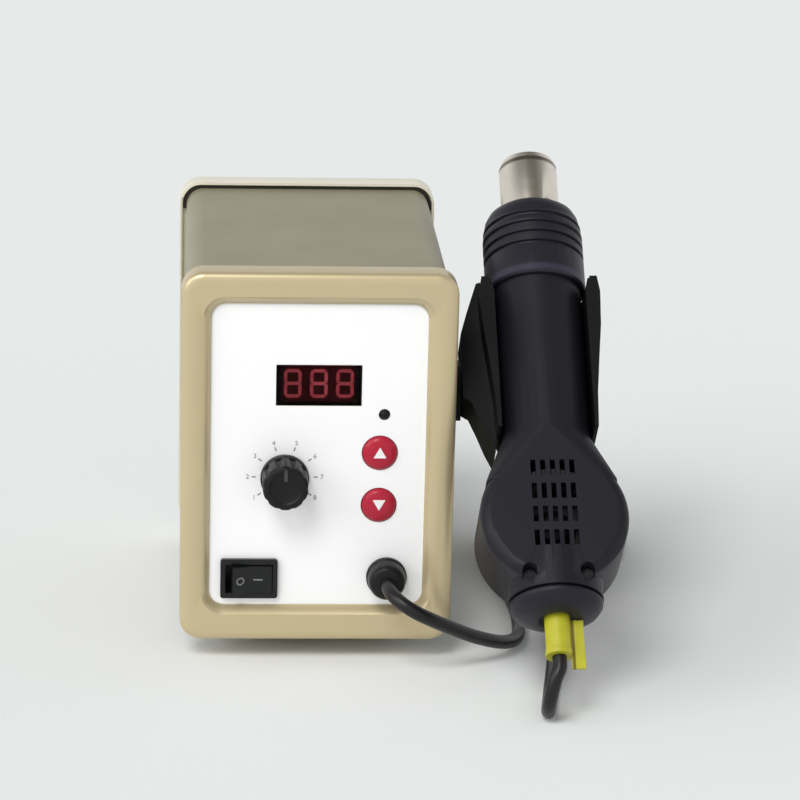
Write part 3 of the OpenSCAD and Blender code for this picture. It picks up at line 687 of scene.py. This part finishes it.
@dataclass(frozen=True)
class Mark:
    """A thin mark on the front of a CAD node."""

    name: str
    node: str
    finish: Finish
    zone: Zone = Zone.CASE
    slot: str = "component_dark"
    depth: float = 0.05
    lift: float = 0.04

    def lay(self, shape: Shape) -> None:
        """Thickens the mark towards the front and moves it back onto its node.

        Args:
            shape: Its flat faces in the plane y = 0, which are freed.
        """
        made = bmesh.ops.extrude_face_region(shape, geom=shape.faces[:])
        front = [e for e in made["geom"] if isinstance(e, Vert)]
        bmesh.ops.translate(shape, verts=front, vec=(0.0, -self.depth * MM, 0.0))
        bmesh.ops.recalc_face_normals(shape, faces=shape.faces[:])
        below = BVHTree.FromBMesh(Workshop.merged(self.node))
        for vert in shape.verts:
            hit = below.ray_cast(Vector((vert.co.x, IN_FRONT, vert.co.z)), Vector(ALONG_Y))[0]
            if hit is not None:
                vert.co.y += hit.y - self.lift * MM
        Workshop.add(shape, self.name, self.finish, self.zone, self.slot)


@dataclass
class CameraRig:
    """The camera at the photograph's viewing angle."""

    at: Point = (-0.0880555, -1.363754, 0.501)
    yaw: float = math.radians(3.78)
    pitch: float = math.radians(16.81)
    roll: float = math.radians(1.43)
    lens: float = 171.63
    sensor: float = 36.0
    nearest: float = 0.05

    def build(self) -> None:
        """Creates the camera and makes it the scene's own."""
        ahead = Vector((math.sin(self.yaw), math.cos(self.yaw), 0.0))
        forward = ahead * math.cos(self.pitch) - Vector(ALONG_Z) * math.sin(self.pitch)
        right = Vector((math.cos(self.yaw), -math.sin(self.yaw), 0.0))
        up = right.cross(forward)
        turned_right = right * math.cos(self.roll) + up * math.sin(self.roll)
        turned_up = up * math.cos(self.roll) - right * math.sin(self.roll)
        data = bpy.data.cameras.new("view")
        data.lens = self.lens
        data.sensor_width = self.sensor
        data.clip_start = self.nearest
        camera = bpy.data.objects.new("view", data)
        basis = Matrix((turned_right, turned_up, -forward)).transposed().to_4x4()
        camera.matrix_world = Matrix.Translation(self.at) @ basis
        bpy.context.scene.collection.objects.link(camera)
        bpy.context.scene.camera = camera


@dataclass(frozen=True)
class Sun:
    """A wide soft lamp, turned in degrees about X, Y and Z from straight down, with its spread in radians."""

    name: str
    turn: Point
    level: float
    spread: float

    def build(self) -> None:
        """Adds the lamp to the scene."""
        data = bpy.data.lights.new(self.name, "SUN")
        data.energy = self.level
        data.angle = self.spread
        lamp = bpy.data.objects.new(self.name, data)
        tilt, roll, yaw = (math.radians(a) for a in self.turn)
        leant = Matrix.Rotation(roll, 4, "Y") @ Matrix.Rotation(-tilt, 4, "X")
        lamp.matrix_world = Matrix.Rotation(yaw, 4, "Z") @ leant
        bpy.context.scene.collection.objects.link(lamp)


@dataclass
class Studio:
    """A pale floor, a room that is dim overhead, and soft light from the left."""

    floor_size: float = 14.0
    air: Rgb = (0.975, 0.985, 1.0)
    horizon_level: float = 0.8
    horizon_up_to: float = 0.35
    zenith_level: float = 0.22
    zenith_from: float = 0.9
    suns: tuple[Sun, ...] = (Sun("key", (-38.0, 12.0, -40.0), 1.38, 0.42),
                             Sun("fill", (-62.0, 0.0, -62.0), 0.9, 0.7))

    def build(self) -> None:
        """Makes the floor, the world and the lamps."""
        scene = bpy.context.scene
        scene.view_settings.view_transform = "Standard"
        self._floor()
        self._world(scene)
        for sun in self.suns:
            sun.build()

    def _floor(self) -> None:
        """Makes the plain floor, fine grained."""
        shape = bmesh.new()
        bmesh.ops.create_grid(shape, x_segments=2, y_segments=2, size=self.floor_size / 2)
        floor = Workshop.finish_mesh(shape, "floor", FLOOR)

    def _world(self, scene: bpy.types.Scene) -> None:
        """Sets the light all round, bright at the horizon and dim overhead.

        Args:
            scene: The scene that gets the world.
        """
        world = bpy.data.worlds.new("room")
        world.use_nodes = True
        graph = Graph(world.node_tree)
        direction = graph.add("ShaderNodeTexCoord")["Generated"]
        height = graph.add("ShaderNodeSeparateXYZ", {"Vector": direction})["Z"]
        heights = {"Value": height, "From Min": self.horizon_up_to, "From Max": self.zenith_from}
        levels = {"To Min": self.horizon_level, "To Max": self.zenith_level}
        level = graph.add("ShaderNodeMapRange", {**heights, **levels}, interpolation_type="SMOOTHSTEP")
        graph.feed(graph.tree.nodes["Background"], {"Color": (*self.air, 1.0), "Strength": level["Result"]})
        scene.world = world


@dataclass
class HandleCord:
    """The limp cord from the case to the handle, with its spare length in a tied coil."""

    diameter: float = 5.2
    skin: float = 0.995
    lay: float = -5.4
    coil_at: Pair = (100.0, 119.5)
    coil_radius: float = 26.0
    turns: float = 3.0 + 210.0 / 360.0
    knots_a_turn: int = 20
    steps_a_knot: int = 3
    sides: int = 20
    follow_across: Point = (0.8, -1.0, 0.0)
    follow_from: float = 57.0
    follow_to: float = 127.0

    def knots(self) -> list[Point]:
        """Gives the route from the gland, round the coil, which climbs one diameter a turn, to the sleeve.

        Returns:
            Its knots in the case's millimetres.
        """
        z = self.lay
        out = [(26, -6, 24.2), (26, -9, 24.2), (26.8, -13, 23.7), (28.8, -16.6, 22.4), (32, -19, 20.5),
               (36, -19.8, 18.2), (40, -18.8, 15.9), (44, -16.8, 13.4), (48.5, -14, 10.6), (53, -11, 7.7),
               (58, -7.8, 4.8), (63, -4.2, 2.2), (67.6, 0, -0.2), (71.6, 5.2, -2.2), (74.8, 11.5, -3.8),
               (77, 19, -4.9), (78.2, 28, z), (78.8, 40, z), (78.6, 54, z), (77.6, 70, z), (76.1, 86, z),
               (74.7, 100, z), (74, 111, z), (74, 119.5, z)]
        count = round(self.turns * self.knots_a_turn)
        turned = [i / count * self.turns for i in range(1, count)]
        coil = [(*self.around(math.pi - t * 2.0 * math.pi), z + t * self.diameter) for t in turned]
        back = [(122.5, 106.5, z + self.turns * self.diameter), (118.4, 99.6, 11.8), (113, 91, 7.2),
                (108, 82.4, 1), (103.4, 73.8, -3.6), (99.3, 65, z), (96.4, 56, z), (94.6, 46.5, z),
                (93.4, 36.5, z), (92.2, 26, z), (90.7, 13, z), (88.8, -1, z), (86.9, -15, z), (85.0, -29, z),
                (83.5, -40, z), (82.5, -47.5, z), (81.6, -54.5, z), (81.1, -59, -4.6), (80.8, -62.8, -2),
                (80.9, -65.3, 1.8), (81.5, -66.2, 6.3), (82.6, -65.5, 10.6), (84.1, -63.7, 13.8),
                (84.1, -60.7, 16.8)]
        return out + coil + back

    def around(self, angle: float) -> Pair:
        """Gives the coil's place at an angle, seen from above."""
        x, y = self.coil_at
        return x + self.coil_radius * math.cos(angle), y + self.coil_radius * math.sin(angle)

    def line(self) -> list[Vector]:
        """Runs a smooth dense path through all the knots, nowhere below the floor.

        Returns:
            The cord's centre line in metres.
        """
        knots = [case_point(*p) for p in self.knots()]
        path: list[Vector] = []
        for i in range(len(knots) - 1):
            before, here, there = knots[max(i - 1, 0)], knots[i], knots[i + 1]
            beyond = knots[min(i + 2, len(knots) - 1)]
            for step in range(self.steps_a_knot):
                t = step / self.steps_a_knot
                path.append(0.5 * ((2.0 * here) + (there - before) * t
                                   + (2.0 * before - 5.0 * here + 4.0 * there - beyond) * t ** 2
                                   + (3.0 * here - before - 3.0 * there + beyond) * t ** 3))
        path.append(knots[-1])
        for point in path:
            point.z = max(point.z, self.diameter / 2 * MM)
        return path

    def build(self) -> None:
        path = self.line()
        cord = Workshop.finish_mesh(self._sweep(path), "handle_cord", CORD_RUBBER)
        tie = CoilTie(self).build()
        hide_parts("handle_cord_out", "cord_coil", "handle_cord_back")
        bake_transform(cord)

    def _sweep(self, path: Sequence[Vector]) -> Shape:
        """Extrudes a round section along a path, with its ends closed.

        Args:
            path: The centre line in metres.

        Returns:
            The closed tube.
        """
        shape = bmesh.new()
        heading = (path[1] - path[0]).normalized()
        side = heading.cross(Vector(ALONG_Z)).normalized()
        start = ring = bmesh.ops.create_circle(shape, segments=self.sides, radius=MM)["verts"]
        self._stand(ring, path[0], side, heading)
        for i in range(1, len(path)):
            heading = (path[min(i + 1, len(path) - 1)] - path[i - 1]).normalized()
            side = (side - heading * side.dot(heading)).normalized()
            made = bmesh.ops.extrude_edge_only(shape, edges=self._loop_edges(ring))
            ring = self._ordered([e for e in made["geom"] if isinstance(e, Vert)], ring)
            self._stand(ring, path[i], side, heading)
        for cap in (start, ring):
            bmesh.ops.contextual_create(shape, geom=self._loop_edges(cap))
        bmesh.ops.recalc_face_normals(shape, faces=shape.faces[:])
        return shape

    @staticmethod
    def _loop_edges(ring: Sequence[Vert]) -> list[Edge]:
        """Gives the edges that join neighbours of a ring."""
        pairs = zip(ring, [*ring[1:], ring[0]])
        return [next(e for e in a.link_edges if e.other_vert(a) is b) for a, b in pairs]

    @staticmethod
    def _ordered(made: Sequence[Vert], ring: Sequence[Vert]) -> list[Vert]:
        """Sorts new verts in the order of the ring that they were extruded from."""
        fresh = set(made)
        return [next(e.other_vert(v) for e in v.link_edges if e.other_vert(v) in fresh) for v in ring]

    def _stand(self, ring: Sequence[Vert], at: Vector, side: Vector, heading: Vector) -> None:
        """Stands a ring square to the cord at a point of its path.

        Args:
            ring: The ring's verts in order.
            at: The point.
            side: Direction of the ring's first vert.
            heading: Direction of the cord.
        """
        over = heading.cross(side)
        radius = self.diameter / 2 * MM * self.skin
        for i, vert in enumerate(ring):
            angle = 2.0 * math.pi * i / self.sides
            vert.co = at + radius * (side * math.cos(angle) + over * math.sin(angle))


@dataclass
class CoilTie:
    """The strap that holds the coil together, on the side away from the handle."""

    cord: HandleCord
    angle: float = math.radians(60.0)
    length: float = 8.0
    corner: float = 2.2
    corner_steps: int = 4
    rim: float = 0.5
    layers: float = 3.58
    room_beside: float = 0.55
    room_above: float = 0.6

    def build(self) -> Piece:
        """Makes the strap.

        Returns:
            The strap.
        """
        cord = self.cord
        low = cord.lay - cord.diameter / 2
        high = cord.lay + cord.diameter * self.layers + self.room_above
        size = (cord.diameter + 2 * self.room_beside, self.length, high - low)
        shape, ends = Workshop.rounded_bar(size, self.corner, self.corner_steps)
        bmesh.ops.inset_region(shape, faces=ends, thickness=self.rim * MM)
        middle = case_point(*cord.around(self.angle), (low + high) / 2)
        placed = Matrix.Translation(middle) @ Matrix.Rotation(self.angle, 4, "Z")
        bmesh.ops.transform(shape, matrix=placed, verts=shape.verts)
        return Workshop.add(shape, "coil_tie", TIE, Zone.CASE, "cord_rubber")


@dataclass
class ScrewMarks:
    """Dark crosses of painted shade that stand in for the cross recesses of a set of screws."""

    name: str
    zone: Zone
    width: float
    bar: float = 0.55
    depth: float = 0.12

    def build(self, heads: Sequence[Matrix]) -> None:
        """Makes a cross on each head.

        Args:
            heads: Place of each head's middle, with -Y to the outside.
        """
        shape = bmesh.new()
        for head in heads:
            for size in ((self.width, self.depth, self.bar), (self.bar, self.depth, self.width)):
                verts = bmesh.ops.create_cube(shape, size=1.0)["verts"]
                bmesh.ops.transform(shape, matrix=head @ Matrix.Diagonal((*(v * MM for v in size), 1.0)),
                                    verts=verts)
        Workshop.add(shape, self.name, RECESS_SHADE, self.zone, "component_dark")


@dataclass
class MouthShade:
    """The dark strip of painted shade between a bezel's mouth and the cover, along the top and a little way
    down the sides, where the gap lies in shadow.
    """

    name: str
    front: float
    depth: float = 1.4
    width: float = 97.8
    height: float = 137.8
    middle_z: float = 70.0
    corner: float = 8.0
    corner_steps: int = 8
    band: float = 1.35
    reach: float = 9.5

    def build(self) -> None:
        """Makes the rounded frame and keeps its upper part, where the gap lies in shadow."""
        size = (self.width, self.depth, self.height)
        shape, ends = Workshop.rounded_bar(size, self.corner, self.corner_steps)
        bmesh.ops.inset_individual(shape, faces=ends, thickness=self.band * MM)
        rims = [e for f in ends for e in f.edges]
        bmesh.ops.delete(shape, geom=ends, context="FACES_ONLY")
        bmesh.ops.bridge_loops(shape, edges=rims)
        bmesh.ops.bisect_plane(shape, geom=shape.verts[:] + shape.edges[:] + shape.faces[:], clear_inner=True,
                               plane_co=(0.0, 0.0, (self.height / 2 - self.reach) * MM), plane_no=ALONG_Z)
        bmesh.ops.holes_fill(shape, edges=[e for e in shape.edges if e.is_boundary])
        bmesh.ops.recalc_face_normals(shape, faces=shape.faces[:])
        bmesh.ops.translate(shape, verts=shape.verts,
                            vec=case_point(0.0, self.front + self.depth / 2, self.middle_z))
        Workshop.add(shape, self.name, MOUTH_SHADE, Zone.CASE, "foot_rubber")


@dataclass
class SubAssembly:
    """CAD nodes that are dressed together."""

    skins: tuple[Skin, ...] = ()

    def build(self) -> None:
        """Dresses each node."""
        for skin in self.skins:
            skin.dress()


@dataclass
class CaseShell(SubAssembly):
    """The case: bezels, cover, tray, rear panel, feet and screws."""

    skins: tuple[Skin, ...] = (
        Skin("front_bezel", GOLD, crease=40.0), Skin("rear_bezel", GOLD_PAINTED_PALER, crease=40.0),
        Skin("case_cover", COVER_PAINT, edge=0.2), Skin("base_tray", COVER_PAINT, edge=0.2),
        Skin("rear_panel", REAR_PAINT, edge=0.15), Skin("feet", RUBBER, edge=0.3),
        Skin("foot_screws", STEEL, edge=0.2), Skin("case_screws", STEEL, edge=0.2))
    # Strips of painted shade in the gaps between the bezels' mouths and the cover.
    mouth_shades: tuple[MouthShade, ...] = (MouthShade("front_mouth_shade", 9.1), MouthShade("rear_mouth_shade", 138.5))
    side_screws: tuple[Point, ...] = ((48.7, 30.0, 11.5), (48.7, 120.0, 11.5))
    rear_screws: tuple[Point, ...] = ((-32.0, 149.9, 38.0), (8.0, 149.9, 38.0))
    recess_width: float = 3.0

    def build(self) -> None:
        """Makes the strips of painted shade in the bezels' mouths, dresses the nodes and marks the screws
        with crosses of painted shade.
        """
        for shade_strip in self.mouth_shades:
            shade_strip.build()
        super().build()
        spots = [((side * x, y, z), side * math.pi / 2) for side in (-1, 1) for x, y, z in self.side_screws]
        spots += [(at, math.pi) for at in self.rear_screws]
        heads = [Matrix.Translation(case_point(*at)) @ Matrix.Rotation(turn, 4, "Z") for at, turn in spots]
        ScrewMarks("case_screw_recess", Zone.CASE, self.recess_width).build(heads)


@dataclass
class RearFace(SubAssembly):
    """Mains inlet and fuse holder."""

    skins: tuple[Skin, ...] = (Skin("mains_inlet", BLACK, edge=0.2), Skin("fuse_holder", BLACK, edge=0.3))


@dataclass
class FrontFace(SubAssembly):
    """The white panel with its display, keys, dial, switch and gland."""

    skins: tuple[Skin, ...] = (
        Skin("front_panel", ENAMEL, edge=0.15), Skin("airflow_knob", BLACK, Zone.KNOB, edge=0.3),
        Skin("up_button", RED, Zone.UP, crease=50.0), Skin("down_button", RED, Zone.DOWN, crease=50.0),
        Skin("indicator_lamp", BLACK, edge=0.1), Skin("switch_body", SWITCH_BLACK, edge=0.25),
        Skin("switch_rocker", SWITCH_BLACK, Zone.ROCKER, edge=0.25), Skin("cord_gland", BLACK, edge=0.2))
    key_x: float = 22.6
    up_z: float = 71.9
    down_z: float = 51.9
    arrow_radius: float = 2.7
    arrow_corner: float = 0.25
    arrow_depth: float = 0.2
    arrow_lift: float = 0.5
    knob_at: Pair = (-12.0, 62.4)
    dial_marks: int = 8
    dial_sweep: float = 250.0
    dial_radius: float = 11.3
    stroke: Pair = (0.45, 1.5)
    number_radius: float = 13.6
    number_size: float = 2.5
    number_steps: int = 3
    switch_at: Pair = (-24.6, 23.6)
    ring_x: float = -3.2
    ring_radii: Pair = (1.5, 1.0)
    ring_sides: int = 32
    dash_x: float = 3.3
    dash: Pair = (3.4, 0.55)

    def build(self) -> None:
        """Dresses the front parts and prints their marks."""
        super().build()
        self._arrow("up_arrow", "up_button", Zone.UP, self.up_z, 0.0)
        self._arrow("down_arrow", "down_button", Zone.DOWN, self.down_z, math.pi)
        self._dial()
        self._switch_marks()

    @staticmethod
    def _flat(size: Pair) -> Matrix:
        """Gives the transform from a unit square on the floor to an upright rectangle, in millimetres."""
        return UPRIGHT @ Matrix.Diagonal((size[0] * MM, size[1] * MM, 1.0, 1.0))

    def _arrow(self, name: str, node: str, zone: Zone, z: float, turn: float) -> None:
        """Prints a white triangle on a key.

        Args:
            name: Name of the piece.
            node: The key's node.
            zone: The key's body.
            z: Height of the key's middle.
            turn: Angle in radians from pointing up.
        """
        shape = bmesh.new()
        bmesh.ops.create_circle(shape, cap_ends=True, segments=3, radius=self.arrow_radius * MM)
        bmesh.ops.bevel(shape, geom=shape.verts[:], offset=self.arrow_corner * MM, segments=3, profile=0.5,
                        affect="VERTICES", material=-1)
        bmesh.ops.transform(shape, matrix=Matrix.Rotation(turn, 4, "Y") @ UPRIGHT, verts=shape.verts)
        middle = (max(v.co.z for v in shape.verts) + min(v.co.z for v in shape.verts)) / 2
        spot = case_point(self.key_x, 0.0, z + self.arrow_lift)
        bmesh.ops.translate(shape, verts=shape.verts, vec=(spot.x, 0.0, spot.z - middle))
        Mark(name, node, WHITE_MARK, zone, "white_mark", self.arrow_depth).lay(shape)

    def _dial(self) -> None:
        """Prints the dial's strokes and plain numbers round the knob."""
        shape = bmesh.new()
        spot = case_point(self.knob_at[0], 0.0, self.knob_at[1])
        for i in range(self.dial_marks):
            turn = math.radians(-self.dial_sweep / 2 + self.dial_sweep * i / (self.dial_marks - 1))
            stroke = bmesh.ops.create_grid(shape, x_segments=1, y_segments=1, size=0.5)["verts"]
            out = Matrix.Translation((0.0, 0.0, self.dial_radius * MM))
            place = Matrix.Translation((spot.x, 0.0, spot.z)) @ Matrix.Rotation(turn, 4, "Y")
            bmesh.ops.transform(shape, matrix=place @ out @ self._flat(self.stroke), verts=stroke)
            self._number(shape, str(i + 1), spot, turn)
        Mark("dial_scale", "front_panel", DIAL_PRINT).lay(shape)

    def _number(self, shape: Shape, text: str, spot: Vector, turn: float) -> None:
        """Adds an upright number to the dial.

        Args:
            shape: The bmesh that it joins.
            text: The number.
            spot: Middle of the dial.
            turn: Its direction from the middle, clockwise from up, in radians.
        """
        curve = bpy.data.curves.new("number", "FONT")
        curve.body = text
        curve.size = self.number_size * MM
        curve.align_x = "CENTER"
        curve.align_y = "CENTER"
        curve.resolution_u = self.number_steps
        letter = bpy.data.objects.new("number", curve)
        bpy.context.scene.collection.objects.link(letter)
        bpy.context.view_layer.update()
        flat = bpy.data.meshes.new_from_object(letter)
        bpy.data.objects.remove(letter)
        radius = self.number_radius * MM
        out = Vector((spot.x + radius * math.sin(turn), 0.0, spot.z + radius * math.cos(turn)))
        flat.transform(Matrix.Translation(out) @ UPRIGHT)
        shape.from_mesh(flat)
        bpy.data.meshes.remove(flat)

    def _switch_marks(self) -> None:
        """Prints the ring and the dash on the rocker."""
        shape = bmesh.new()
        rims: list[Edge] = []
        for radius in self.ring_radii:
            verts = bmesh.ops.create_circle(shape, segments=self.ring_sides, radius=radius * MM)["verts"]
            rims += {e for v in verts for e in v.link_edges}
        bmesh.ops.bridge_loops(shape, edges=rims)
        x, z = self.switch_at
        left, right = (case_point(x + aside, 0.0, z) for aside in (self.ring_x, self.dash_x))
        place = Matrix.Translation((left.x, 0.0, left.z))
        bmesh.ops.transform(shape, matrix=place @ UPRIGHT, verts=shape.verts)
        dash = bmesh.ops.create_grid(shape, x_segments=4, y_segments=1, size=0.5)["verts"]
        place = Matrix.Translation((right.x, 0.0, right.z))
        bmesh.ops.transform(shape, matrix=place @ self._flat(self.dash), verts=dash)
        Mark("switch_marks", "switch_rocker", GREY_MARK, Zone.ROCKER).lay(shape)


@dataclass
class Holder(SubAssembly):
    """The bracket and the cradle on the case's side."""

    skins: tuple[Skin, ...] = (
        Skin("holder_bracket", HOLDER_BLACK, edge=0.5), Skin("holder_cradle", HOLDER_BLACK, edge=0.4),
        Skin("holder_screws", STEEL, edge=0.3))


@dataclass
class HotAirHandle(SubAssembly):
    """The handle: moulded shells, ribbed collar, steel tube, tail and sleeve."""

    skins: tuple[Skin, ...] = (
        Skin("shell_front", HANDLE_BLACK, Zone.HANDLE, edge=0.3, crease=32.0),
        Skin("shell_rear", HANDLE_BLACK, Zone.HANDLE, edge=0.3, crease=32.0),
        Skin("heater_collar", COLLAR_BLACK, Zone.HANDLE, edge=0.15),
        Skin("tail_cap", TAIL_BLACK, Zone.HANDLE, edge=0.2), Skin("heater_tube", TUBE_STEEL, Zone.HANDLE),
        Skin("cord_sleeve", YELLOW, Zone.HANDLE, edge=0.2),
        Skin("shell_screws", SCREW_BLACK, Zone.HANDLE, edge=0.2))
    screw_at: Point = (10.3, -12.0, -80.5)
    recess_width: float = 2.4

    def build(self) -> None:
        """Dresses the handle and marks its screws."""
        super().build()
        x, y, z = self.screw_at
        heads = [handle_matrix() @ Matrix.Translation(Vector((side * x, y, z)) * MM) for side in (-1, 1)]
        ScrewMarks("shell_screw_recess", Zone.HANDLE, self.recess_width).build(heads)


def paint_inner_nodes(finishes: dict[str, Finish]) -> None:
    """Gives the CAD nodes that keep their own mesh a finish.

    Args:
        finishes: Finish of each node, by name.
    """
    for node, finish in finishes.items():
        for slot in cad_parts[node].material_slots:
            slot.material = finish.material()
        log.info("%s is finished as %s", node, finish.name)


def main() -> None:
    """Builds the scene in order and reports each piece."""
    logging.basicConfig(level=logging.INFO, format="%(name)s: %(message)s")
    CameraRig().build()
    HandleCord().build()
    for part in (CaseShell(), RearFace(), FrontFace(), Holder(), HotAirHandle()):
        part.build()
        log.info("%s is done", type(part).__name__)
    paint_inner_nodes(REST_FINISH)
    Studio().build()


if __name__ == "__main__":
    main()
